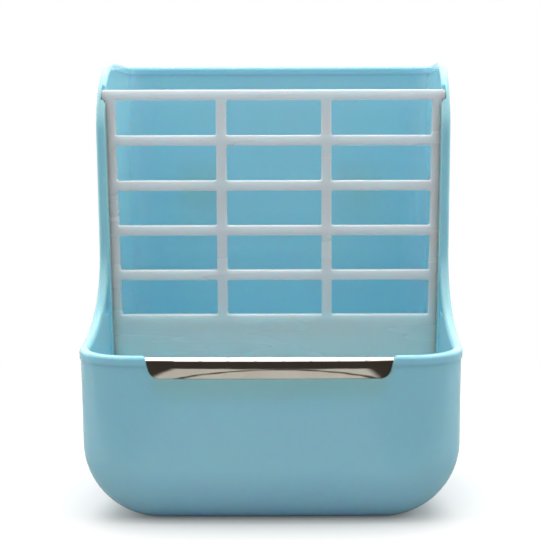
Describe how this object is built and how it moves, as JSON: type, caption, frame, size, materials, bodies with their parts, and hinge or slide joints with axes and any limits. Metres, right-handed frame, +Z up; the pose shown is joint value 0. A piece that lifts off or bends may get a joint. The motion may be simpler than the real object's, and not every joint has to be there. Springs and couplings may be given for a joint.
{
  "type": "hay feeder box",
  "caption": "Pet feeder with a food bowl in front, a hay rack behind a lift-out window grid, a steel chew guard on the front rim and wing-nut cage clamps behind.",
  "frame": {"origin": "middle of the flat base, on the surface the feeder stands on", "axes": "+Z up, +X to the right seen from the front, -Y towards the animal, +Y out of the back towards the cage wires"},
  "size_m": [0.1746, 0.1614, 0.2104],
  "materials": {
    "turquoise_plastic": "moulded turquoise plastic, smooth and glossy",
    "white_plastic": "moulded white plastic, satin gloss",
    "stainless_strip": "thin stainless strip, bright with a fine grain along its length",
    "zinc_steel": "zinc-plated steel"
  },
  "bodies": {
    "shell": {"body_shell": "turquoise_plastic", "chew_guard": "stainless_strip"},
    "grid": {"hay_grid": "white_plastic"},
    "bolt_left": {"clamp_bolt_left": "zinc_steel"},
    "disc_left": {"clamp_disc_left": "white_plastic"},
    "nut_left": {"wing_nut_left": "zinc_steel"},
    "bolt_right": {"clamp_bolt_right": "zinc_steel"},
    "disc_right": {"clamp_disc_right": "white_plastic"},
    "nut_right": {"wing_nut_right": "zinc_steel"}
  },
  "joints": [
    {"name": "grid_lift", "type": "slide", "parent": "shell", "child": "grid", "axis": [0, 0, 1], "range_m": [0, 0.21]},
    {"name": "bolt_lift_left", "type": "slide", "parent": "shell", "child": "bolt_left", "axis": [0, 0, 1], "range_m": [0, 0.022]},
    {"name": "clamp_slide_left", "type": "slide", "parent": "bolt_left", "child": "disc_left", "axis": [0, 1, 0], "range_m": [-0.0045, 0.01]},
    {"name": "nut_spin_left", "type": "hinge", "parent": "disc_left", "child": "nut_left", "pos_m": [-0.042, 0.0827, 0.15], "axis": [0, 1, 0], "range_deg": [-1620, 3600]},
    {"name": "bolt_lift_right", "type": "slide", "parent": "shell", "child": "bolt_right", "axis": [0, 0, 1], "range_m": [0, 0.022]},
    {"name": "clamp_slide_right", "type": "slide", "parent": "bolt_right", "child": "disc_right", "axis": [0, 1, 0], "range_m": [-0.0045, 0.01]},
    {"name": "nut_spin_right", "type": "hinge", "parent": "disc_right", "child": "nut_right", "pos_m": [0.042, 0.0827, 0.15], "axis": [0, 1, 0], "range_deg": [-1620, 3600]}
  ],
  "couplings": [
    {"joint": "nut_spin_left", "follows": "clamp_slide_left", "rad_per_m": 6283.2},
    {"joint": "nut_spin_right", "follows": "clamp_slide_right", "rad_per_m": 6283.2}
  ]
}
